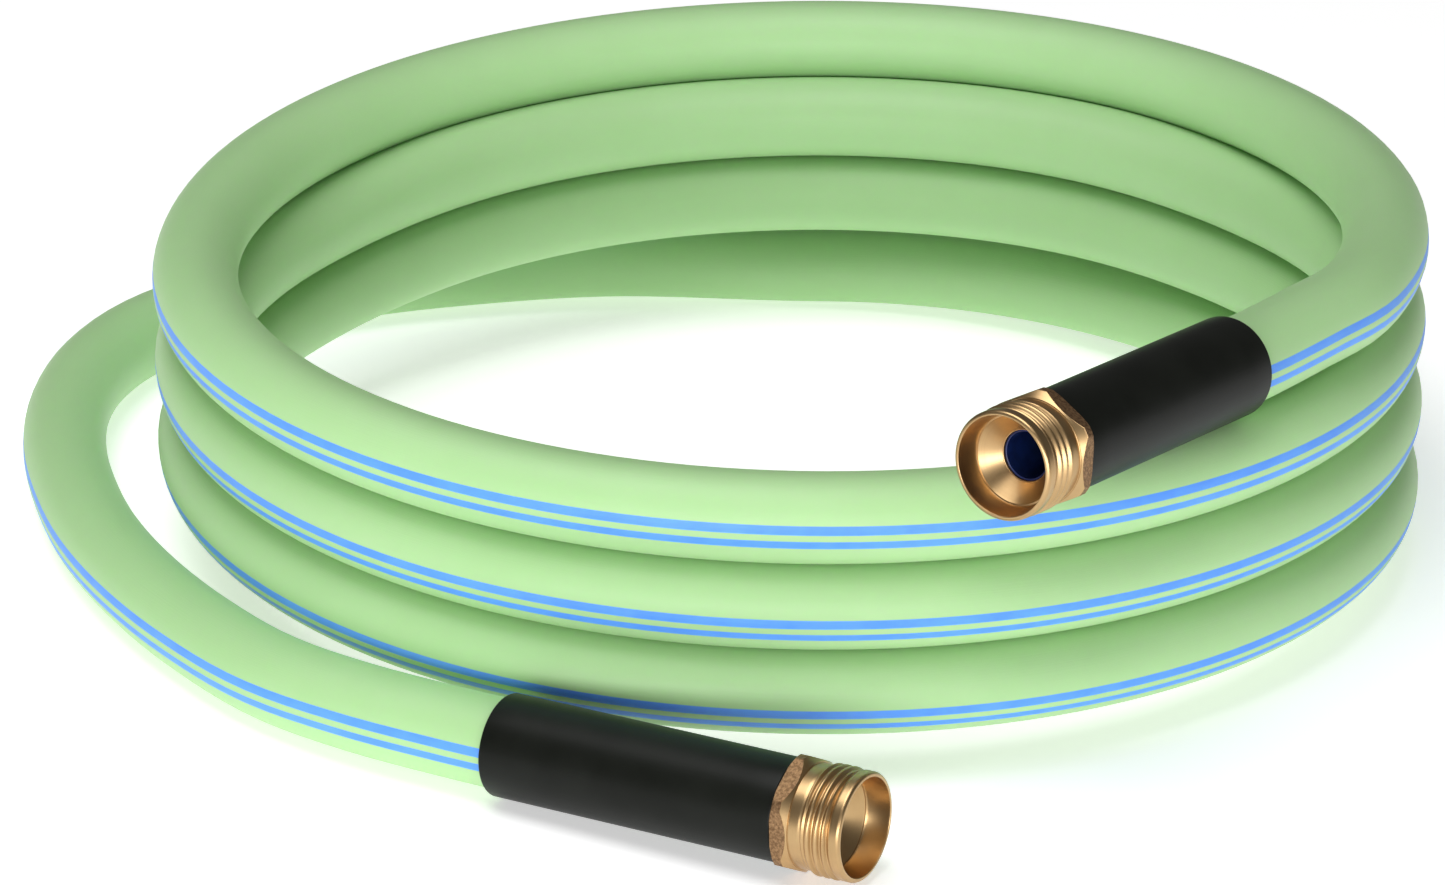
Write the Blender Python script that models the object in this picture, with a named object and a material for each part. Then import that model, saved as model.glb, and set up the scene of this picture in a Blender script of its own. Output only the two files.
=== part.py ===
# A coiled garden hose with a black sleeve and a brass male coupling at each end.
# The hose winds down from its upper end in touching turns, and its lower end runs out along the floor.
# Metres, +Z up, the floor at Z = 0, the photograph's viewer towards -Y.
# Everything is placed about the coil's axis first, and the footprint is centred on the origin last.

import math

import bpy
from mathutils import Matrix, Vector

# Hose and coil
HOSE_DIAMETER = 0.0222
COIL_RADIUS = 0.1545              # from the coil's axis to the hose's centre line
TURN_PITCH = 0.0225               # climb of one turn
STACKED_TURNS = 3                 # whole turns below the top one
BACK_LEAN = 0.012                 # the stacked turns lie this far inwards at the coil's back
LEAN_ARC = 55.0                   # degrees over which they lean in and out again
CLEARANCE = 0.0003                # gap between pieces that touch

# Black sleeve over each end of the hose
SLEEVE_LENGTH = 0.080
SLEEVE_DIAMETER = 0.0254
SLEEVE_ROUNDING = 0.0006
SLEEVE_ENTRY = 0.010              # the hose is straight from this far before its sleeve

# Brass male coupling, heights measured from the hexagon's back face towards the mouth
HEXAGON_FLATS = 0.0266
HEXAGON_ROUND = 0.0294            # the turned diameter that cuts the hexagon's corners
HEXAGON_THICKNESS = 0.0045
CORNER_CUT = 0.0007
NECK_DIAMETER = 0.0260
NECK_LENGTH = 0.0033
THREAD_MAJOR = 0.0270             # 3/4 inch garden hose thread
THREAD_MINOR = 0.0249
THREAD_PITCH = 0.00221            # 11.5 threads to the inch
THREAD_RIDGES = 3
CREST_START = 0.40                # a ridge's flat top, as shares of the pitch
CREST_END = 0.60
LIP_DIAMETER = 0.0266
LIP_LENGTH = 0.0029
LIP_ROUNDING = 0.0005
CUP_DIAMETER = 0.0228
CUP_DEPTH = 0.0055
SEAT_DIAMETER = 0.0170            # where the cup's floor turns into the cone
SEAT_DEPTH = 0.0070
BORE_DIAMETER = 0.0118
BORE_DEPTH = 0.0086               # from the mouth to where the bore starts
SHANK_DIAMETER = 0.0159
SHANK_LENGTH = 0.024

# The upper end: where the sleeve starts, and how it points
UPPER_SLEEVE_ANGLE = -46.9        # degrees round the coil from +X
UPPER_SLEEVE_HEADING = -126.5
UPPER_SLEEVE_RISE = 4.5
UPPER_SLEEVE_GAP = 0.00054        # above the turn that the sleeve lies on
UPPER_TUBE_LAST_ANGLE = 250.0     # the top turn's plain tube stops short of the coupling
TOP_TURN_STEP = 12.5              # degrees between two points of the top turn

# The upper end's lead, about the coil's axis, from the coil to the sleeve
UPPER_LEAD = [
    (0.1511, -0.0321, 0.0853),
    (0.1411, -0.0628, 0.0864),
    (0.1262, -0.0852, 0.0875),
]

# The free end, about the coil's axis, from the coil's back to the sleeve at the front
FREE_SLEEVE_ANGLE = 247.28        # degrees round the coil from +X
FREE_SLEEVE_GAP = 0.00166         # between the sleeve and the coil
FREE_SLEEVE_HEADING = -30.0
FREE_END_ROUTE = [
    (-0.0500, 0.1575, 0.0112),
    (-0.0950, 0.1496, 0.0112),
    (-0.1270, 0.1385, 0.0112),
    (-0.1560, 0.1215, 0.0112),
    (-0.1780, 0.0995, 0.0112),
    (-0.1900, 0.0740, 0.0112),
    (-0.1945, 0.0460, 0.0112),
    (-0.1930, 0.0160, 0.0112),
    (-0.1870, -0.0140, 0.0112),
    (-0.1780, -0.0430, 0.0112),
    (-0.1650, -0.0715, 0.0112),
    (-0.1485, -0.0990, 0.0113),
    (-0.1286, -0.1246, 0.0115),
    (-0.1055, -0.1441, 0.0121),
]

TUBE_STEP = 2.1 * HOSE_DIAMETER   # distance between two points of a plain tube
COIL_SEGMENTS = 96
SLEEVE_SEGMENTS = 40
COUPLING_SEGMENTS = 40
CURVE_DIVISIONS = 24
QUARTER_TURN = 90.0

THREADED_LENGTH = (THREAD_RIDGES + 0.5) * THREAD_PITCH
COUPLING_LENGTH = HEXAGON_THICKNESS + NECK_LENGTH + THREADED_LENGTH + LIP_LENGTH
COIL_EDGE = HOSE_DIAMETER / 6     # slope along the coil's edges
FLOOR_GAP = CLEARANCE / 3


def clear_scene():
    for old in list(bpy.data.objects):
        bpy.data.objects.remove(old, do_unlink=True)


def make_material(name, colour, roughness, metallic=0.0):
    material = bpy.data.materials.new(name)
    material.use_nodes = True
    shader = material.node_tree.nodes["Principled BSDF"]
    shader.inputs["Base Color"].default_value = (*colour, 1.0)
    shader.inputs["Roughness"].default_value = roughness
    shader.inputs["Metallic"].default_value = metallic
    return material


def add_object(name, data, material, parent):
    data.materials.append(material)
    obj = bpy.data.objects.new(name, data)
    bpy.context.scene.collection.objects.link(obj)
    obj.parent = parent
    return obj


def turned_mesh(name, outline, segments, first_angle=0.0, lean=None):
    """A closed outline of (radius, height) points, run anticlockwise, turned about Z.

    lean gives how far the outline moves inwards at an angle in degrees.
    """
    vertices = []
    for step in range(segments):
        angle = first_angle + 2 * math.pi * step / segments
        inwards = lean(math.degrees(angle)) if lean else 0.0
        for radius, height in outline:
            across = radius - inwards
            vertices.append((across * math.cos(angle), across * math.sin(angle), height))
    count = len(outline)
    faces = []
    for step in range(segments):
        here = step * count
        there = (step + 1) % segments * count
        for point in range(count):
            after = (point + 1) % count
            faces.append((here + point, there + point, there + after, here + after))
    mesh = bpy.data.meshes.new(name)
    mesh.from_pydata(vertices, [], faces)
    mesh.shade_smooth()
    mesh.set_sharp_from_angle(angle=math.radians(35))
    return mesh


def pointing(start, heading, rise):
    """The matrix that lays +Z along a heading and a rise, both in degrees, from a start point."""
    turn = math.radians(heading)
    lift = math.radians(rise)
    direction = Vector((math.cos(turn) * math.cos(lift), math.sin(turn) * math.cos(lift), math.sin(lift)))
    return Matrix.Translation(start) @ direction.to_track_quat("Z", "Y").to_matrix().to_4x4()


def smooth_curve(route, step):
    """Points at an even step along a Catmull-Rom curve through the route's points."""
    points = [Vector(point) for point in route]
    before = [2 * points[0] - points[1]]
    behind = [2 * points[-1] - points[-2]]
    padded = before + points + behind
    fine = []
    for index in range(1, len(padded) - 2):
        a, b, c, d = padded[index - 1:index + 3]
        for part in range(CURVE_DIVISIONS):
            t = part / CURVE_DIVISIONS
            linear = (c - a) * t
            square = (2 * a - 5 * b + 4 * c - d) * t * t
            cube = (3 * b - a - 3 * c + d) * t * t * t
            fine.append(b + 0.5 * (linear + square + cube))
    fine.append(points[-1])
    travelled = [0.0]
    for index in range(1, len(fine)):
        travelled.append(travelled[-1] + (fine[index] - fine[index - 1]).length)
    intervals = max(2, round(travelled[-1] / step))
    even = []
    cursor = 0
    for number in range(intervals + 1):
        wanted = travelled[-1] * number / intervals
        while cursor < len(fine) - 2 and travelled[cursor + 1] < wanted:
            cursor += 1
        share = (wanted - travelled[cursor]) / (travelled[cursor + 1] - travelled[cursor])
        even.append(fine[cursor].lerp(fine[cursor + 1], share))
    return even


def plain_tube(name, route, sleeve_matrix, material, parent):
    """The hose as one tube with filled ends: a smooth route, then straight into its sleeve."""
    entry, end = sleeve_points(sleeve_matrix)
    points = smooth_curve(route + [entry], TUBE_STEP) + [end]
    curve = bpy.data.curves.new(name, "CURVE")
    curve.dimensions = "3D"
    curve.bevel_depth = HOSE_DIAMETER / 2
    curve.bevel_resolution = 4
    curve.use_fill_caps = True
    spline = curve.splines.new("POLY")
    spline.points.add(len(points) - 1)
    for target, point in zip(spline.points, points):
        target.co = (*point, 1.0)
    return add_object(name, curve, material, parent)


def back_lean(angle):
    """How far the stacked turns lie inwards at an angle: nothing at the front, all of it at the back."""
    share = min(max(min(angle, 2 * QUARTER_TURN - angle) / LEAN_ARC, 0.0), 1.0)
    return BACK_LEAN * share * share * (3 - 2 * share)


def hose_coil(material, parent):
    """The stacked turns as one turned ring with its bore, leaning inwards at the back."""
    half = HOSE_DIAMETER / 2
    inner = COIL_RADIUS - half
    outer = COIL_RADIUS + half
    top = STACKED_TURNS * TURN_PITCH - CLEARANCE
    edge = COIL_EDGE
    outline = [
        (outer - edge, 0.0),
        (outer, edge),
        (outer, top - edge),
        (outer - edge, top),
        (inner + edge, top),
        (inner, top - edge),
        (inner, edge),
        (inner + edge, 0.0),
    ]
    mesh = turned_mesh("hose_coil", outline, COIL_SEGMENTS, lean=back_lean)
    return add_object("hose_coil", mesh, material, parent)


def top_turn_height(angle):
    """The top turn follows the coil's pitch until it lies on the stacked turns, and stays level there."""
    climb = max(0.0, (QUARTER_TURN - angle) / 360.0) * TURN_PITCH
    return STACKED_TURNS * TURN_PITCH + HOSE_DIAMETER / 2 + CLEARANCE + climb


def top_turn_route():
    """From the stacked turns, round the left, the back and the right, to the upper sleeve."""
    route = []
    angle = UPPER_TUBE_LAST_ANGLE
    while angle >= 0.0:
        turn = math.radians(angle)
        height = top_turn_height(angle)
        route.append((COIL_RADIUS * math.cos(turn), COIL_RADIUS * math.sin(turn), height))
        angle -= TOP_TURN_STEP
    return route + UPPER_LEAD


def sleeve_points(sleeve_matrix):
    """Two points on a sleeve's axis: just before its mouth, and where the hose meets the shank."""
    hose_end = SLEEVE_LENGTH - SHANK_LENGTH
    return [sleeve_matrix @ Vector((0, 0, depth)) for depth in (-SLEEVE_ENTRY, hose_end)]


def sleeve(name, sleeve_matrix, material, parent):
    """A plain tube over the hose's end, with slightly rounded edges."""
    outer = SLEEVE_DIAMETER / 2
    bore = HOSE_DIAMETER / 2 + CLEARANCE
    soft = SLEEVE_ROUNDING
    outline = [
        (bore, 0.0),
        (outer - soft, 0.0),
        (outer, soft),
        (outer, SLEEVE_LENGTH - soft),
        (outer - soft, SLEEVE_LENGTH),
        (bore, SLEEVE_LENGTH),
    ]
    obj = add_object(name, turned_mesh(name, outline, SLEEVE_SEGMENTS), material, parent)
    obj.matrix_local = sleeve_matrix
    return obj


def coupling_outline():
    """The turned outline, from the shank's end up the outside to the mouth and back down the bore."""
    cut = CORNER_CUT
    hexagon = HEXAGON_ROUND / 2
    neck = NECK_DIAMETER / 2
    shank = SHANK_DIAMETER / 2
    thread_start = HEXAGON_THICKNESS + NECK_LENGTH
    outline = [
        (BORE_DIAMETER / 2, -SHANK_LENGTH),
        (shank - cut, -SHANK_LENGTH),
        (shank, cut - SHANK_LENGTH),
        (shank, 0.0),
        (hexagon - cut, 0.0),
        (hexagon, cut),
        (hexagon, HEXAGON_THICKNESS - cut),
        (hexagon - 2 * cut, HEXAGON_THICKNESS),
        (neck, HEXAGON_THICKNESS),
        (neck, thread_start - cut),
    ]
    for ridge in range(THREAD_RIDGES):
        foot = thread_start + ridge * THREAD_PITCH
        outline.append((THREAD_MINOR / 2, foot))
        outline.append((THREAD_MAJOR / 2, foot + CREST_START * THREAD_PITCH))
        outline.append((THREAD_MAJOR / 2, foot + CREST_END * THREAD_PITCH))
    outline.append((THREAD_MINOR / 2, thread_start + THREAD_RIDGES * THREAD_PITCH))
    lip = LIP_DIAMETER / 2
    mouth = COUPLING_LENGTH
    outline += [
        (lip, mouth - LIP_LENGTH),
        (lip, mouth - LIP_ROUNDING),
        (lip - LIP_ROUNDING, mouth),
        (CUP_DIAMETER / 2, mouth),
        (CUP_DIAMETER / 2, mouth - CUP_DEPTH),
        (SEAT_DIAMETER / 2, mouth - SEAT_DEPTH),
        (BORE_DIAMETER / 2, mouth - BORE_DEPTH),
    ]
    return outline


def hexagon_cutter(name, parent):
    """A hexagonal frame that leaves six flats on the turned disc."""
    inner = HEXAGON_FLATS / 2 / math.cos(math.pi / 6)
    outer = 2 * inner
    low = -CORNER_CUT
    high = HEXAGON_THICKNESS + CORNER_CUT / 2
    outline = [(inner, low), (outer, low), (outer, high), (inner, high)]
    corner_up = math.pi / 6
    cutter = bpy.data.objects.new(name, turned_mesh(name, outline, 6, corner_up))
    bpy.context.scene.collection.objects.link(cutter)
    cutter.parent = parent
    cutter.hide_render = True
    cutter.display_type = "WIRE"
    return cutter


def coupling(name, sleeve_matrix, material, parent):
    """One brass piece in front of its sleeve, with its shank inside it."""
    place = sleeve_matrix @ Matrix.Translation((0, 0, SLEEVE_LENGTH + CLEARANCE))
    obj = add_object(name, turned_mesh(name, coupling_outline(), COUPLING_SEGMENTS), material, parent)
    obj.matrix_local = place
    cutter = hexagon_cutter(name + "_flats", parent)
    cutter.matrix_local = place
    flats = obj.modifiers.new("Flats", "BOOLEAN")
    flats.operation = "DIFFERENCE"
    flats.object = cutter
    return obj


def centre_footprint(root, pieces):
    """Moves the whole object so that its footprint's middle is at the origin."""
    graph = bpy.context.evaluated_depsgraph_get()
    graph.update()
    low = Vector((math.inf, math.inf))
    high = -low
    for piece in pieces:
        evaluated = piece.evaluated_get(graph)
        mesh = evaluated.to_mesh()
        for vertex in mesh.vertices:
            place = evaluated.matrix_world @ vertex.co
            low = Vector((min(low.x, place.x), min(low.y, place.y)))
            high = Vector((max(high.x, place.x), max(high.y, place.y)))
        evaluated.to_mesh_clear()
    middle = (low + high) / 2
    root.location = (-middle.x, -middle.y, 0.0)


def build():
    clear_scene()
    root = bpy.data.objects.new("coil_axis", None)
    bpy.context.scene.collection.objects.link(root)

    green = make_material("hose_green", (0.46, 0.80, 0.36), 0.45)
    top_green = make_material("top_turn_green", (0.50, 0.82, 0.40), 0.45)
    free_green = make_material("free_end_green", (0.42, 0.78, 0.33), 0.45)
    upper_black = make_material("upper_sleeve_black", (0.012, 0.013, 0.012), 0.35)
    free_black = make_material("free_sleeve_black", (0.014, 0.015, 0.014), 0.35)
    upper_brass = make_material("upper_brass", (0.80, 0.54, 0.26), 0.25, 1.0)
    free_brass = make_material("free_brass", (0.78, 0.51, 0.24), 0.25, 1.0)

    # The upper sleeve lies on the turn below it.
    turn = math.radians(UPPER_SLEEVE_ANGLE)
    turns_below = STACKED_TURNS - 1 + (QUARTER_TURN - UPPER_SLEEVE_ANGLE) / 360.0
    upper_height = turns_below * TURN_PITCH + HOSE_DIAMETER + SLEEVE_DIAMETER / 2 + UPPER_SLEEVE_GAP
    upper_start = Vector((COIL_RADIUS * math.cos(turn), COIL_RADIUS * math.sin(turn), upper_height))
    upper = pointing(upper_start, UPPER_SLEEVE_HEADING, UPPER_SLEEVE_RISE)

    # The free sleeve's back edge and the hexagon both touch the floor, and the sleeve is beside the coil.
    turn = math.radians(FREE_SLEEVE_ANGLE)
    free_low = SLEEVE_DIAMETER / 2 + FLOOR_GAP
    free_high = HEXAGON_ROUND / 2 + FLOOR_GAP
    free_rise = math.degrees(math.asin((free_high - free_low) / SLEEVE_LENGTH))
    across = COIL_RADIUS + HOSE_DIAMETER / 2 + SLEEVE_DIAMETER / 2 + FREE_SLEEVE_GAP
    free_start = Vector((across * math.cos(turn), across * math.sin(turn), free_low))
    free = pointing(free_start, FREE_SLEEVE_HEADING, free_rise)

    pieces = [
        hose_coil(green, root),
        plain_tube("hose_top_turn", top_turn_route(), upper, top_green, root),
        plain_tube("hose_free_end", FREE_END_ROUTE, free, free_green, root),
        sleeve("sleeve_upper", upper, upper_black, root),
        sleeve("sleeve_free", free, free_black, root),
        coupling("coupling_upper", upper, upper_brass, root),
        coupling("coupling_free", free, free_brass, root),
    ]
    centre_footprint(root, pieces)


build()
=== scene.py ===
# Coiled garden hose with a black sleeve and a brass coupling on each end.
# Surfaces are numpy grids. The hose runs down a computed helix and out along a listed route.

import math

import bpy
import numpy as np
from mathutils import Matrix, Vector


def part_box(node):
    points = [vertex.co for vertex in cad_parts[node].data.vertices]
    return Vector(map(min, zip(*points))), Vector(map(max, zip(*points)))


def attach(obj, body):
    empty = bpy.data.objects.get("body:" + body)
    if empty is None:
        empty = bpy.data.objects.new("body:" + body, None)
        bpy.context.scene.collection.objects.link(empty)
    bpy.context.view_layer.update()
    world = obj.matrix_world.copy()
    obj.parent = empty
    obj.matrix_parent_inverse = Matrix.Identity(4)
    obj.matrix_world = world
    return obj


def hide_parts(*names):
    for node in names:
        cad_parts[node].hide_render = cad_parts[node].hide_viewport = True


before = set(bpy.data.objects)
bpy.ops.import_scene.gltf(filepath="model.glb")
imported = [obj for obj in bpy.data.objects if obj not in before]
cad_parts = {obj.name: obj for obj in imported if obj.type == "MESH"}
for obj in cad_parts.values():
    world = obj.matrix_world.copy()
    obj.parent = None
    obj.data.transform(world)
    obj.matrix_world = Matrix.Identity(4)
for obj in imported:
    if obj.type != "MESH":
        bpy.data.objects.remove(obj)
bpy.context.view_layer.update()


# a mesh from a grid of points, wrapped round in either direction where asked. Faces point out where
# columns, rows and outwards make a right-handed set, and backwards turns them for the other
def gridMesh(name, points, wrapRows, wrapColumns, uv=None, capEnds=False, backwards=False):
    rows, columns = points.shape[:2]
    row, column = np.meshgrid(
        np.arange(rows if wrapRows else rows - 1),
        np.arange(columns if wrapColumns else columns - 1), indexing="ij")
    steps = ((0, 0), (0, 1), (1, 1), (1, 0))
    steps = steps[::-1] if backwards else steps
    cornerRow = np.stack([row + step[0] for step in steps], -1).reshape(-1, 4)
    cornerColumn = np.stack([column + step[1] for step in steps], -1).reshape(-1, 4)
    faces = (cornerRow % rows * columns + cornerColumn % columns).tolist()
    if capEnds:
        first, last = list(range(columns)), list(range((rows - 1) * columns, rows * columns))
        faces += [first, last[::-1]] if backwards else [first[::-1], last]
    mesh = bpy.data.meshes.new(name)
    mesh.from_pydata(points.reshape(-1, 3).tolist(), [], faces)
    if uv is not None:
        # each quad keeps its own corners, so the seam doesn't run back across the map
        layer = mesh.uv_layers.new(name="UVMap")
        flat = np.zeros((len(mesh.loops), 2))
        flat[:cornerRow.size] = uv(cornerRow.ravel(), cornerColumn.ravel())
        layer.data.foreach_set("uv", flat.ravel())
    return mesh


# every piece rides on the part's one body and takes the material it is given
def addPiece(name, mesh, material, sharpAngle, nodes=()):
    mesh.shade_smooth()
    mesh.set_sharp_from_angle(angle=math.radians(sharpAngle))
    mesh.materials.append(material)
    piece = bpy.data.objects.new(name, mesh)
    bpy.context.scene.collection.objects.link(piece)
    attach(piece, "root")
    if nodes:
        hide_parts(*nodes)
    return piece


# where each sleeve starts, in metres about the coil's axis, and how it points, in degrees
ends = {
    "upper": {"start": (0.105566, -0.112810, 0.088996), "heading": -126.5, "rise": 4.5},
    "free": {"start": (-0.069506, -0.165996, 0.0128), "heading": -30.0, "rise": 1.433},
}


# an end's axes: its start, its direction, and two directions across it, the second pointing up
def endFrame(end):
    turn, lift = math.radians(end["heading"]), math.radians(end["rise"])
    along = np.array([math.cos(turn) * math.cos(lift), math.sin(turn) * math.cos(lift), math.sin(lift)])
    across = np.cross([0.0, 0.0, 1.0], along)
    across /= np.linalg.norm(across)
    return np.array(end["start"]) + coilAxis, along, across, np.cross(along, across)


# a surface turned about an end's axis: start + height along the axis + radius across it, where radius
# and height are given for each profile point and angle
def turnedPoints(end, angles, radius, height):
    start, along, across, up = endFrame(end)
    spoke = np.cos(angles)[None, :, None] * across + np.sin(angles)[None, :, None] * up
    return start + height[:, :, None] * along + radius[:, :, None] * spoke


# a profile of radius and height turned as it stands, the same at every angle
def turnedProfile(end, profile, angles):
    radius, height = (np.repeat(profile[:, k:k + 1], len(angles), 1) for k in (0, 1))
    return turnedPoints(end, angles, radius, height)


hose = {
    "diameter": 0.0222,
    "coilRadius": 0.1545,      # axis of the coil to the hose's centre line
    "pitch": 0.0225,
    "turns": 3.25,             # from the right-hand side down to the coil's back, on the floor
    "stepDegrees": 10.0,
    "lean": 0.012,             # the lower turns lie this far inwards at the coil's back
    "leanArc": 55.0,           # degrees over which they lean in and out again
    "leanEnd": 90.0,           # the lean fades out over the last of these degrees
    "nestle": 0.0004,          # a leaning turn presses this far into the one above
    "ringSpacing": 0.0066,
    "fineSteps": 24,           # between two points of the route, before the rings are spaced
    "sides": 56,
    "stripeCentres": (6.8, -13.2),   # degrees above the outward side
    "stripeWidths": (12.0, 10.6),
    "twistAt": (0.9, 1.9, 2.85, 3.35, 3.75),    # metres along the hose
    "twist": (0.0, -11.0, -18.0, -9.0, 4.0),    # degrees, which lowers the stripes on the lower turns
    "sharpAngle": 60,
    # from the upper sleeve's side to the coil, in metres about the coil's axis
    "upperLead": [
        (0.1262, -0.0852, 0.0875),
        (0.1411, -0.0628, 0.0864),
        (0.1511, -0.0321, 0.0853),
    ],
    # from the coil's back to the free sleeve at the front
    "freeEndRoute": [
        (-0.0500, 0.1575, 0.0112),
        (-0.0950, 0.1496, 0.0112),
        (-0.1270, 0.1385, 0.0112),
        (-0.1560, 0.1215, 0.0112),
        (-0.1780, 0.0995, 0.0112),
        (-0.1900, 0.0740, 0.0112),
        (-0.1945, 0.0460, 0.0112),
        (-0.1930, 0.0160, 0.0112),
        (-0.1870, -0.0140, 0.0112),
        (-0.1780, -0.0430, 0.0112),
        (-0.1650, -0.0715, 0.0112),
        (-0.1485, -0.0990, 0.0113),
        (-0.1286, -0.1246, 0.0115),
        (-0.1055, -0.1441, 0.0121),
    ],
}

# the leaning ring's box is uneven at the back, so the axis is measured from its front
coilLow, coilHigh = (np.array(corner, float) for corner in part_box("hose_coil"))
coilFront = hose["coilRadius"] + hose["diameter"] / 2
coilAxis = np.array([(coilLow[0] + coilHigh[0]) / 2, coilLow[1] + coilFront, 0.0])


# Catmull-Rom through the route's points, then even steps along it
def smoothLine(route, spacing):
    points = np.array(route, float)
    padded = np.vstack([2 * points[0] - points[1], points, 2 * points[-1] - points[-2]])
    t = np.linspace(0, 1, hose["fineSteps"], endpoint=False)[None, :, None]
    a, b, c, d = (padded[k:len(padded) - 3 + k, None, :] for k in range(4))
    fine = b + 0.5 * ((c - a) * t + (2 * a - 5 * b + 4 * c - d) * t**2 + (3 * b - a - 3 * c + d) * t**3)
    fine = np.vstack([fine.reshape(-1, 3), points[-1]])
    travelled = np.concatenate([[0.0], np.cumsum(np.linalg.norm(np.diff(fine, axis=0), axis=1))])
    even = np.linspace(0, travelled[-1], int(round(travelled[-1] / spacing)) + 1)
    return np.stack([np.interp(even, travelled, fine[:, k]) for k in range(3)], 1), even


# how far a turn leans inwards: nothing on the first turn or at the front, all of it across the back,
# with a smooth step in and out, fading before the hose leaves the coil
def backLean(travelled):
    if travelled < 360:
        return 0.0
    turn = travelled % 360
    share = min(max(min(turn, 180 - turn) / hose["leanArc"], 0.0), 1.0)
    last = min(max((hose["turns"] * 360 - travelled) / hose["leanEnd"], 0.0), 1.0)
    return hose["lean"] * share * share * (3 - 2 * share) * last


# the centre line: out of the upper sleeve, down the helix, out along the floor, into the free sleeve.
# On the helix the radius is coilRadius less the lean, and the height falls by a pitch each turn
def hoseRoute():
    start, along, _, _ = endFrame(ends["upper"])
    inside = sleeve["length"] - coupling["shankLength"]
    route = [start + along * depth for depth in (inside, inside / 2, 0.0, -sleeve["entry"])]
    route += [coilAxis + np.array(point) for point in hose["upperLead"]]
    steps = int(round(hose["turns"] * 360 / hose["stepDegrees"]))
    for step in range(steps + 1):
        travelled = step * hose["stepDegrees"]
        turn = math.radians(travelled)
        lean = backLean(travelled)
        # a leaning turn rises into the hollow beside the turn above
        rise = hose["diameter"] - math.sqrt(hose["diameter"]**2 - lean**2)
        rise += hose["nestle"] * min(4 * lean / hose["lean"], 1.0)
        height = hose["diameter"] / 2 + hose["pitch"] * (hose["turns"] - travelled / 360) + rise
        radius = hose["coilRadius"] - lean
        route.append(coilAxis + np.array([radius * math.cos(turn), radius * math.sin(turn), height]))
    route += [coilAxis + np.array(point) for point in hose["freeEndRoute"]]
    start, along, _, _ = endFrame(ends["free"])
    route += [start + along * depth for depth in (-sleeve["entry"], 0.0, inside / 2, inside)]
    return route


# rings across the centre line: line + radius (cos angle outward + sin angle up), with angle 0 towards
# the outside of the coil and the hose's twist added to the angle
def makeHose(material):
    line, along = smoothLine(hoseRoute(), hose["ringSpacing"])
    spacing = along[1]
    tangent = np.gradient(line, axis=0)
    tangent /= np.linalg.norm(tangent, axis=1)[:, None]
    outward = np.cross(tangent, [0.0, 0.0, 1.0])
    outward /= np.linalg.norm(outward, axis=1)[:, None]
    up = np.cross(outward, tangent)
    twist = np.radians(np.interp(along, hose["twistAt"], hose["twist"]))
    angles = twist[:, None] + np.linspace(0, 2 * np.pi, hose["sides"], endpoint=False)[None, :]
    radius = hose["diameter"] / 2
    points = line[:, None, :] + radius * (
        np.cos(angles)[:, :, None] * outward[:, None, :] + np.sin(angles)[:, :, None] * up[:, None, :])
    mesh = gridMesh(
        "hose", points, False, True,
        uv=lambda row, column: np.stack([row * spacing, column / hose["sides"]], 1),
        capEnds=True, backwards=True)
    piece = addPiece(
        "hose", mesh, material, hose["sharpAngle"],
        nodes=("hose_coil", "hose_top_turn", "hose_free_end"))
    print("hose", round(float(along[-1]), 3), "m long,", len(line), "rings")
    return piece, line, float(along[-1])


sleeve = {
    "length": 0.080,
    "radius": 0.0127,
    "bore": 0.0114,
    "rounding": 0.0006,
    "entry": 0.010,            # the hose is straight from this far before the sleeve
    "sides": 160,
    "sharpAngle": 35,
}


# a closed outline of the sleeve's wall, with rounded outer corners, turned about its axis
def makeSleeve(name, end, node, material):
    edge = sleeve["rounding"]
    arc = np.linspace(0, np.pi / 2, 7)
    outer, bore, length = sleeve["radius"], sleeve["bore"], sleeve["length"]
    backCorner = np.stack([outer - edge + edge * np.sin(arc), edge - edge * np.cos(arc)], 1)
    frontCorner = np.stack([outer - edge + edge * np.cos(arc), length - edge + edge * np.sin(arc)], 1)
    body = np.stack([np.full(9, outer), np.linspace(edge, length - edge, 11)[1:-1]], 1)
    outline = np.vstack([[bore, 0.0], backCorner, body, frontCorner, [bore, length]])
    angles = np.linspace(0, 2 * np.pi, sleeve["sides"], endpoint=False)
    mesh = gridMesh(
        name, turnedProfile(end, outline, angles), True, True,
        uv=lambda row, column: np.stack([row / len(outline), column / len(angles)], 1))
    print(name, round(length * 1000), "mm long")
    return addPiece(name, mesh, material, sleeve["sharpAngle"], nodes=(node,))


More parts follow.
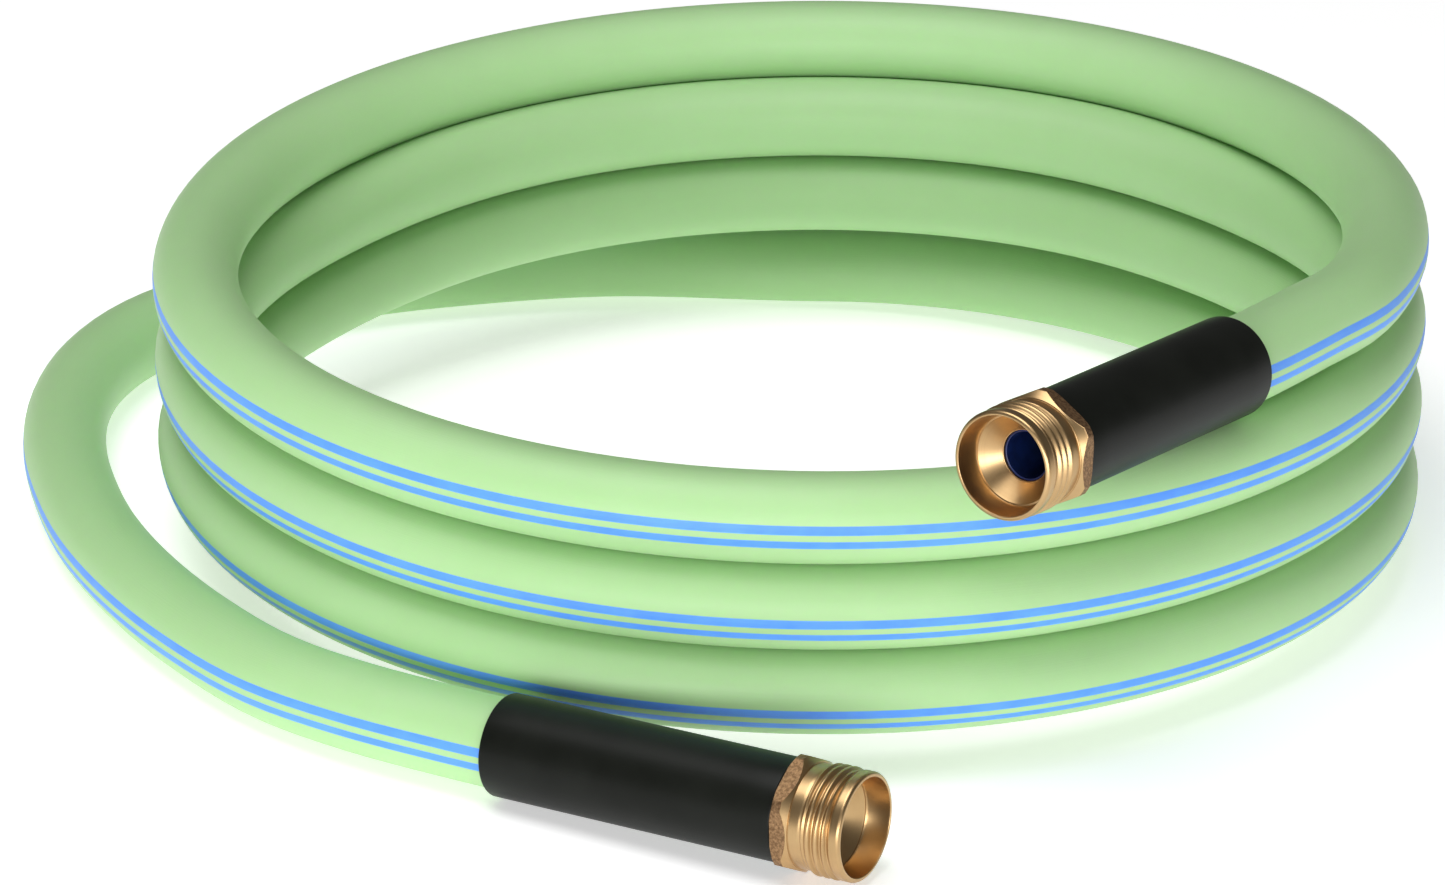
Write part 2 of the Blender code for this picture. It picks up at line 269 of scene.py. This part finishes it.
coupling = {
    "gap": 0.0003,             # from the sleeve's end to the hexagon
    "flats": 0.0266,
    "round": 0.0294,           # across the hexagon's turned corners
    "hexThickness": 0.0045,
    "hexFaceRadius": 0.0131,   # where the 45 degree chamfer meets the hexagon's front face
    "hexBackRadius": 0.0137,   # where the 30 degree chamfer meets its back
    "edgeBreak": 0.0001,
    "flatSteps": 40,           # mesh columns on each flat and on each corner
    "cornerSteps": 8,
    "neckRadius": 0.0130,
    "neckCut": 0.0003,         # the neck is turned down by this much in front of the hexagon
    "neckSlope": 0.0008,       # length of the slope down to the thread's root
    "threadStart": 0.0078,
    "threadPitch": 0.00221,
    "threadPhase": 0.1,        # turns
    "threadSharpness": 2.6,    # a higher number makes rounder crests and narrower grooves
    "threadFade": 0.35,        # pitches over which the thread rises and runs out
    "threadRunOut": 0.2,       # pitches past the last ridge
    "threadRows": 62,
    "ridges": 3,
    "threadMajor": 0.0135,
    "threadMinor": 0.0126,
    "lipRadius": 0.0133,
    "lipLength": 0.0029,
    "lipRounding": 0.0009,
    "rimEdge": 0.0002,         # rounding between the rim and the cup, and at the bore's mouth
    "cupRadius": 0.0121,       # at the mouth
    "cupTaper": 0.0010,        # the cup is this much narrower at its floor
    "cupCurve": 2.2,
    "cupDepth": 0.0060,
    "ledge": 0.0005,           # the step from the cup's floor into the cone
    "boreRadius": 0.0062,
    "boreDepth": 0.0100,
    "shankRadius": 0.00795,
    "shankLength": 0.024,
    "shankWall": 0.0006,       # at the shank's thin end
    "barbs": 4,
    "barbHeight": 0.0007,
    "barbsEnd": 0.004,         # plain stretch between the last barb and the hexagon
    "sharpAngle": 40,
}
coupling["length"] = coupling["threadStart"] + coupling["lipLength"] + (
    (coupling["ridges"] + 0.5) * coupling["threadPitch"])


# angles round a coupling, with one at each end of a flat
def couplingAngles():
    half = math.acos(coupling["flats"] / coupling["round"])
    flat = np.linspace(-half, half, coupling["flatSteps"], endpoint=False)
    corner = np.linspace(half, np.pi / 3 - half, coupling["cornerSteps"], endpoint=False)
    sector = np.concatenate([flat, corner])
    return (sector[None, :] + np.arange(6)[:, None] * np.pi / 3).ravel()


# the thread's height above its root, 0 to 1: 1 - |cos(pi turns)| ^ sharpness, where turns grow with
# height over pitch and with the angle, which makes a right-hand helix
def threadProfile(angles, height):
    c = coupling
    fade = c["threadFade"] * c["threadPitch"]
    turns = (height - c["threadStart"])[:, None] / c["threadPitch"] + angles[None, :] / (2 * np.pi)
    crest = 1 - np.abs(np.cos(np.pi * (turns + c["threadPhase"])))**c["threadSharpness"]
    fadeIn = np.clip((height - c["threadStart"]) / fade, 0, 1)
    fadeOut = np.clip((height[-1] - height) / fade, 0, 1)
    return crest * (fadeIn * fadeOut)[:, None]


# the outline runs out along the shank, over the hexagon and thread, and back down the cup and bore
def makeCoupling(name, end, node, material):
    c = coupling
    angles = couplingAngles()
    mouth = c["length"]
    arc = np.linspace(0, np.pi / 2, 6)
    rows = []          # radius, height and cast share over the angles

    def add(radius, heights, cast=0.0):
        values = [np.asarray(value, float) for value in (radius, heights, cast)]
        values = [value if value.ndim == 2 else value.reshape(-1, 1) for value in values]
        rows.append(np.stack(np.broadcast_arrays(*values, np.zeros((1, len(angles))))[:3]))

    # shank with barbs that slope up towards the hexagon
    shankRoot = c["shankRadius"] - c["barbHeight"]
    barbHeights = np.linspace(-c["shankLength"], -0.001, 41)
    saw = (barbHeights + c["shankLength"]) / (c["shankLength"] - c["barbsEnd"]) * c["barbs"]
    barb = np.where(saw < c["barbs"], saw % 1.0, 0.0) * c["barbHeight"]
    add([c["boreRadius"] + c["shankWall"]], [-c["shankLength"]])
    add(shankRoot + barb, barbHeights)

    # the hexagon: six flats cut by a round, with a chamfer that leaves a circle on each face
    edge = c["edgeBreak"]
    fromMiddle = (angles[None, :] + np.pi / 6) % (np.pi / 3) - np.pi / 6
    hexagon = np.minimum(c["flats"] / 2 / np.cos(fromMiddle), c["round"] / 2)
    backRadius = np.minimum(hexagon, c["hexBackRadius"]) - edge
    backHeight = edge + np.maximum(hexagon - c["hexBackRadius"], 0) * math.tan(math.radians(30))
    frontRadius = np.minimum(hexagon, c["hexFaceRadius"]) - edge
    frontHeight = c["hexThickness"] - edge - np.maximum(hexagon - c["hexFaceRadius"], 0)
    for share in (0.0, 0.33, 0.66, 0.97):
        add(shankRoot + share * (backRadius - shankRoot), [0.0], 1.0)
    for share in (0.0, 0.08, 0.92):
        add(backRadius + share * (hexagon - backRadius), share * backHeight, 1.0)
    for share in (0.0, 0.02, 0.25, 0.5, 0.75, 0.98, 1.0):
        add(hexagon, backHeight + share * (frontHeight - backHeight), 1.0)
    for share in (0.06, 0.35, 0.65, 0.94, 1.0):
        add(hexagon + share * (frontRadius - hexagon),
            frontHeight + share * (c["hexThickness"] - frontHeight), 0.0)
    faceRadius = np.minimum(frontRadius, c["hexFaceRadius"] - edge)
    faceInner = c["neckRadius"] - 0.0002
    for share in (0.9, 0.5, 0.1):
        add(faceInner + share * (faceRadius - faceInner), [c["hexThickness"]])

    # neck, with a half cosine down to the thread's root
    neck = c["neckRadius"] - c["neckCut"]
    add([neck] * 4, np.linspace(c["hexThickness"] + 0.0001, c["threadStart"] - c["neckSlope"], 4))
    slope = np.linspace(0, 1, 7)[1:]
    ease = 0.5 - 0.5 * np.cos(np.pi * slope)
    add(neck - (neck - c["threadMinor"]) * ease, c["threadStart"] - c["neckSlope"] * (1 - slope))

    # thread
    threadEnd = c["threadStart"] + (c["ridges"] + c["threadRunOut"]) * c["threadPitch"]
    threadHeights = np.linspace(c["threadStart"], threadEnd, c["threadRows"])[1:]
    crests = threadProfile(angles, threadHeights)
    add(c["threadMinor"] + (c["threadMajor"] - c["threadMinor"]) * crests, threadHeights)

    # plain lip, its rounded edge and the rim
    lipStart = mouth - c["lipLength"]
    add(c["threadMinor"] + (c["lipRadius"] - c["threadMinor"]) * ease, lipStart - 0.0006 + 0.0009 * slope)
    add([c["lipRadius"]] * 3, np.linspace(lipStart + 0.0007, mouth - c["lipRounding"] - 0.0001, 3))
    add(c["lipRadius"] - c["lipRounding"] * (1 - np.cos(arc)), mouth - c["lipRounding"] * (1 - np.sin(arc)))
    rimEdge = c["rimEdge"]
    add([(c["lipRadius"] - c["lipRounding"] + c["cupRadius"] + rimEdge) / 2], [mouth])
    add(c["cupRadius"] + rimEdge * (1 - np.sin(arc)), mouth - rimEdge * (1 - np.cos(arc)))

    # cup wall that narrows like a bowl, a small ledge, the cone and the bore
    bowl = np.linspace(0, 1, 12)[1:]
    floorRadius = c["cupRadius"] - c["cupTaper"]
    add(c["cupRadius"] - c["cupTaper"] * bowl**c["cupCurve"],
        mouth - rimEdge - (c["cupDepth"] - rimEdge) * bowl)
    add(floorRadius - np.array([0.1, 0.5, 0.9]) * c["ledge"], [mouth - c["cupDepth"] - 0.00005] * 3)
    cone = np.linspace(0, 1, 9)
    coneStart = floorRadius - c["ledge"]
    add(coneStart - (coneStart - c["boreRadius"] - rimEdge) * cone,
        mouth - c["cupDepth"] - 0.0001 - (c["boreDepth"] - c["cupDepth"] - rimEdge) * cone)
    add(c["boreRadius"] + rimEdge * (1 - np.sin(arc)), mouth - c["boreDepth"] - rimEdge * (1 - np.cos(arc)))
    add([c["boreRadius"]] * 8, np.linspace(mouth - c["boreDepth"] - 0.001, -c["shankLength"], 8))

    radius, height, cast = np.concatenate(rows, axis=1)
    points = turnedPoints(end, angles, radius, height + sleeve["length"] + c["gap"])
    stride = np.hypot(np.diff(radius[:, 0]), np.diff(height[:, 0]))
    travelled = np.concatenate([[0.0], np.cumsum(stride)])
    turns = np.append(angles, angles[0] + 2 * np.pi) / (2 * np.pi)
    places = np.arange(len(travelled))
    mesh = gridMesh(
        name, points, True, True,
        uv=lambda row, column: np.stack([np.interp(row, places, travelled), turns[column]], 1))
    share = mesh.attributes.new("castShare", "FLOAT", "POINT")
    share.data.foreach_set("value", cast.ravel())
    print(name, len(travelled), "outline points,", len(mesh.polygons), "faces")
    return addPiece(name, mesh, material, c["sharpAngle"], nodes=(node,))


lining = {
    "wall": 0.0005,
    "clearance": 0.00006,      # inside the coupling's bore
    "recess": 0.0007,          # behind the bore's mouth
    "sides": 96,
}


# the hose's dark blue lining, seen down the coupling's bore: a thin tube turned about the end's axis
def makeLining(name, end, material):
    base = sleeve["length"] + coupling["gap"]
    low = base - coupling["shankLength"]
    high = base + coupling["length"] - coupling["boreDepth"] - lining["recess"]
    outer = coupling["boreRadius"] - lining["clearance"]
    inner = coupling["boreRadius"] - lining["wall"]
    crown = [(inner + outer) / 2, high + 0.0001]
    outline = np.array([[inner, high], [inner, low], [outer, low], [outer, high], crown])
    angles = np.linspace(0, 2 * np.pi, lining["sides"], endpoint=False)
    mesh = gridMesh(name, turnedProfile(end, outline, angles), True, True)
    return addPiece(name, mesh, material, coupling["sharpAngle"])


# shader maths written as Python expressions on a wrapped socket
class Wire:
    def __init__(self, graph, socket):
        self.graph, self.socket = graph, socket

    def combine(self, operation, *values):
        return self.graph.node("ShaderNodeMath", {"operation": operation}, values).out()

    def __add__(self, other):
        return self.combine("ADD", self, other)

    def __radd__(self, other):
        return self.combine("ADD", other, self)

    def __sub__(self, other):
        return self.combine("SUBTRACT", self, other)

    def __rsub__(self, other):
        return self.combine("SUBTRACT", other, self)

    def __mul__(self, other):
        return self.combine("MULTIPLY", self, other)

    def __rmul__(self, other):
        return self.combine("MULTIPLY", other, self)

    def __abs__(self):
        return self.combine("ABSOLUTE", self)


# a node in the graph, with its outputs by place or by name
class Placed:
    def __init__(self, graph, node):
        self.graph, self.node = graph, node

    def out(self, name=0):
        return Wire(self.graph, self.node.outputs[name])


class Graph:
    def __init__(self, name):
        self.material = bpy.data.materials.new(name)
        self.material.use_nodes = True
        self.tree = self.material.node_tree
        self.shader = self.tree.nodes["Principled BSDF"]

    def set(self, target, value):
        if isinstance(value, Wire):
            self.tree.links.new(value.socket, target)
        elif isinstance(value, tuple) and len(value) == 3 and len(target.default_value) == 4:
            target.default_value = (*value, 1.0)
        else:
            target.default_value = value

    # any node: its type, its settings, then its sockets' values or links by place or by name
    def node(self, kind, settings=None, inputs=()):
        made = self.tree.nodes.new(kind)
        for key, value in (settings or {}).items():
            setattr(made, key, value)
        pairs = inputs.items() if isinstance(inputs, dict) else enumerate(inputs)
        for key, value in pairs:
            self.set(made.inputs[key], value)
        return Placed(self, made)

    def place(self):
        return self.node("ShaderNodeTexCoord").out("Object")

    def map(self):
        return self.node("ShaderNodeUVMap", {"uv_map": "UVMap"}).out(0)

    def stretch(self, vector, scale):
        return self.node("ShaderNodeMapping", {}, {"Vector": vector, "Scale": scale}).out(0)

    # a Mix node's colour sockets share their names with its others, so they go by place
    def mix(self, share, first, second):
        return self.node("ShaderNodeMix", {"data_type": "RGBA"}, {0: share, 6: first, 7: second}).out(2)

    # 0 below low, 1 above high, smooth between
    def step(self, value, low, high):
        return self.node("ShaderNodeMapRange", {"interpolation_type": "SMOOTHSTEP"},
                         {"Value": value, "From Min": low, "From Max": high}).out("Result")

    # one of two screen colours by a value between low and high
    def blend(self, value, low, high, colours):
        return self.mix(self.step(value, low, high), linear(colours[0]), linear(colours[1]))

    def noise(self, vector, scale, detail, roughness):
        return self.node("ShaderNodeTexNoise", {}, {
            "Vector": vector, "Scale": scale, "Detail": detail, "Roughness": roughness}).out(0)

    def bump(self, height, strength, distance, normal=None):
        inputs = {"Height": height, "Strength": strength, "Distance": distance}
        if normal is not None:
            inputs["Normal"] = normal
        return self.node("ShaderNodeBump", {}, inputs).out("Normal")

    def finish(self, **sockets):
        for name, value in sockets.items():
            self.set(self.shader.inputs[name.replace("_", " ")], value)
        return self.material


# a colour read off a screen, 0 to 255, as the shader wants it
def linear(screen):
    values = np.array(screen) / 255
    curved = np.where(values > 0.04045, ((values + 0.055) / 1.055)**2.4, values / 12.92)
    return tuple(float(value) for value in curved)


hoseFinish = {
    "greens": ((171, 211, 152), (175, 214, 156)),
    "cloudGreen": (159, 201, 136),
    "cloudShare": 0.10,
    "blues": ((88, 153, 247), (96, 161, 251)),
    "stripeEdge": 0.0011,      # softness of a stripe's edge, in turns round the hose
    "dieStretch": (6.0, 90.0, 1.0),
    "dieBump": (0.10, 0.0004),     # strength and distance
    "grainBump": (0.06, 0.0001),
    "roughness": 0.42,
    "specular": 0.42,
    "subsurface": 0.4,
    "subsurfaceScale": 0.010,
    "subsurfaceRadius": (0.5, 1.0, 0.35),
}


# green with two blue stripes along the outer side
def hoseMaterial():
    f = hoseFinish
    g = Graph("hoseGreen")
    place, uv = g.place(), g.map()
    around = g.node("ShaderNodeSeparateXYZ", {}, [uv]).out("Y")

    # the map's seam is on the outer side, so the angle is measured from half a turn away
    fromInner = around - 0.5
    bands = []
    for centre, width in zip(hose["stripeCentres"], hose["stripeWidths"]):
        away = abs(fromInner - (centre / 360 - math.copysign(0.5, centre)))
        half = width / 720
        bands.append(1.0 - g.step(away, half - f["stripeEdge"], half + f["stripeEdge"]))
    stripes = bands[0] + bands[1]

    broad = g.noise(place, 9.0, 2.0, 0.45)
    cloud = g.noise(place, 70.0, 3.0, 0.55)
    green = g.blend(broad, 0.35, 0.65, f["greens"])
    green = g.mix(f["cloudShare"] * g.step(cloud, 0.3, 0.7), green, linear(f["cloudGreen"]))
    blue = g.blend(cloud, 0.35, 0.65, f["blues"])

    # faint lines left by the extruder's die, and a fine grain
    drawn = g.noise(g.stretch(uv, f["dieStretch"]), 3.0, 3.0, 0.55)
    grain = g.noise(place, 900.0, 2.0, 0.6)
    normal = g.bump(drawn, *f["dieBump"])
    normal = g.bump(grain, *f["grainBump"], normal)
    return g.finish(
        Base_Color=g.mix(stripes, green, blue), Normal=normal,
        Roughness=f["roughness"] + 0.08 * broad + 0.05 * drawn,
        Specular_IOR_Level=f["specular"], Subsurface_Weight=f["subsurface"],
        Subsurface_Scale=f["subsurfaceScale"], Subsurface_Radius=f["subsurfaceRadius"])


sleeveFinish = {
    "blacks": ((16, 18, 14), (22, 24, 20)),
    "drawnStretch": (4.0, 160.0, 1.0),
    "drawnBump": (0.05, 0.0003),
    "grainBump": (0.10, 0.00006),
    "roughness": 0.36,
    "specular": 0.15,
}


# smooth satin black with a faint drawn grain
def sleeveMaterial():
    f = sleeveFinish
    g = Graph("sleeveBlack")
    place, uv = g.place(), g.map()
    cloud = g.noise(place, 60.0, 3.0, 0.5)
    grain = g.noise(place, 1400.0, 2.0, 0.6)
    drawn = g.noise(g.stretch(uv, f["drawnStretch"]), 2.0, 2.0, 0.5)
    normal = g.bump(drawn, *f["drawnBump"])
    normal = g.bump(grain, *f["grainBump"], normal)
    return g.finish(
        Base_Color=g.blend(cloud, 0.3, 0.7, f["blacks"]), Normal=normal,
        Roughness=f["roughness"] + 0.08 * cloud, Specular_IOR_Level=f["specular"])


brassFinish = {
    "machined": ((186, 154, 110), (196, 164, 119)),
    "toolLine": (164, 128, 84),
    "toolShare": 0.15,
    "toolStretch": (5200.0, 1.2, 1.0),     # close lines across the outline, long ones round it
    "toolBump": (0.03, 0.00003),
    "cast": ((118, 90, 64), (168, 134, 98)),
    "sandBump": (0.55, 0.00016),
    "machinedRoughness": 0.29,
    "castRoughness": 0.46,
}


# machined brass with tool lines round it, and a sandy cast finish on the hexagon
def brassMaterial():
    f = brassFinish
    g = Graph("brass")
    place, uv = g.place(), g.map()
    cast = g.node("ShaderNodeAttribute", {"attribute_name": "castShare"}).out("Fac")
    sand = g.noise(place, 1500.0, 4.0, 0.65)
    patches = g.noise(place, 130.0, 3.0, 0.5)
    tool = g.noise(g.stretch(uv, f["toolStretch"]), 1.0, 2.0, 0.6)
    machined = g.blend(patches, 0.3, 0.7, f["machined"])
    machined = g.mix(f["toolShare"] * g.step(tool, 0.45, 0.75), machined, linear(f["toolLine"]))
    sandy = g.blend(sand, 0.35, 0.68, f["cast"])
    turned = (f["machinedRoughness"] + 0.08 * tool) * (1.0 - cast)
    normal = g.bump(tool * (1.0 - cast), *f["toolBump"])
    normal = g.bump(sand * cast, *f["sandBump"], normal)
    return g.finish(
        Base_Color=g.mix(cast, machined, sandy), Metallic=1.0, Normal=normal,
        Roughness=turned + cast * (f["castRoughness"] + 0.12 * sand))


liningFinish = {"blues": ((10, 26, 74), (16, 38, 96)), "roughness": 0.35}


def liningMaterial():
    g = Graph("liningBlue")
    cloud = g.noise(g.place(), 300.0, 3.0, 0.5)
    return g.finish(
        Base_Color=g.blend(cloud, 0.3, 0.7, liningFinish["blues"]),
        Roughness=liningFinish["roughness"] + 0.15 * cloud)


pale = {
    "halfWidth": 6.0,
    "sunk": 0.0002,            # below the hose, so the two don't flicker
    "grey": 0.93,
    "glow": 0.46,              # lightens its shadows
}


def makeFloor():
    g = Graph("floorPale")
    material = g.finish(
        Base_Color=(pale["grey"],) * 3, Roughness=0.9, Specular_IOR_Level=0.1,
        Emission_Color=(1.0, 1.0, 1.0), Emission_Strength=pale["glow"])
    half = pale["halfWidth"]
    corners = [(-half, -half, 0), (half, -half, 0), (half, half, 0), (-half, half, 0)]
    mesh = bpy.data.meshes.new("floor")
    mesh.from_pydata(corners, [], [(0, 1, 2, 3)])
    mesh.materials.append(material)
    floor = bpy.data.objects.new("floor", mesh)
    bpy.context.scene.collection.objects.link(floor)
    floor.location.z = -pale["sunk"]


view = {
    "aim": (-0.0174, -0.0009, 0.0211),   # about the coil's axis
    "elevation": 23.14,
    "distance": 1.641,
    "focalPixels": 6216.0,
    "pictureWidth": 1445.0,
    "sensorWidth": 36.0,
    "farthest": 30.0,
}


def makeCamera():
    lens = bpy.data.cameras.new("camera")
    lens.sensor_width = view["sensorWidth"]
    lens.lens = view["focalPixels"] / view["pictureWidth"] * lens.sensor_width
    lens.clip_end = view["farthest"]
    camera = bpy.data.objects.new("camera", lens)
    bpy.context.scene.collection.objects.link(camera)
    aim = Vector(coilAxis + np.array(view["aim"]))
    lift = math.radians(view["elevation"])
    back = Vector((0.0, -math.cos(lift), math.sin(lift)))
    camera.location = aim + back * view["distance"]
    camera.rotation_euler = (-back).to_track_quat("-Z", "Y").to_euler()
    bpy.context.scene.camera = camera


# soft rectangles of light, in metres and watts
studio = {
    "topSoftbox": {"place": (-0.35, -0.3, 1.9), "size": (1.6, 1.2), "power": 25.0},
    "frontFill": {"place": (-0.2, -2.3, 0.3), "size": (2.6, 0.55), "power": 40.0},
}
worldStrength = 0.12


def makeLight():
    world = bpy.data.worlds.new("studio")
    bpy.context.scene.world = world
    world.use_nodes = True
    background = world.node_tree.nodes["Background"]
    background.inputs["Color"].default_value = (1.0, 1.0, 1.0, 1.0)
    background.inputs["Strength"].default_value = worldStrength
    for name, box in studio.items():
        lamp = bpy.data.lights.new(name, "AREA")
        lamp.shape = "RECTANGLE"
        lamp.size, lamp.size_y = box["size"]
        lamp.energy = box["power"]
        softbox = bpy.data.objects.new(name, lamp)
        bpy.context.scene.collection.objects.link(softbox)
        softbox.location = box["place"]
        softbox.rotation_euler = (-Vector(box["place"])).to_track_quat("-Z", "Y").to_euler()
    bpy.context.scene.view_settings.view_transform = "Standard"


makeCamera()
makeLight()
makeFloor()
print("camera, light and floor made")

green, black, brass, blue = hoseMaterial(), sleeveMaterial(), brassMaterial(), liningMaterial()
cord, cordLine, cordLength = makeHose(green)
upperSleeve = makeSleeve("sleeveUpper", ends["upper"], "sleeve_upper", black)
freeSleeve = makeSleeve("sleeveFree", ends["free"], "sleeve_free", black)
upperCoupling = makeCoupling("couplingUpper", ends["upper"], "coupling_upper", brass)
freeCoupling = makeCoupling("couplingFree", ends["free"], "coupling_free", brass)
upperLining = makeLining("liningUpper", ends["upper"], blue)
freeLining = makeLining("liningFree", ends["free"], blue)
print("sleeves, couplings and linings made")
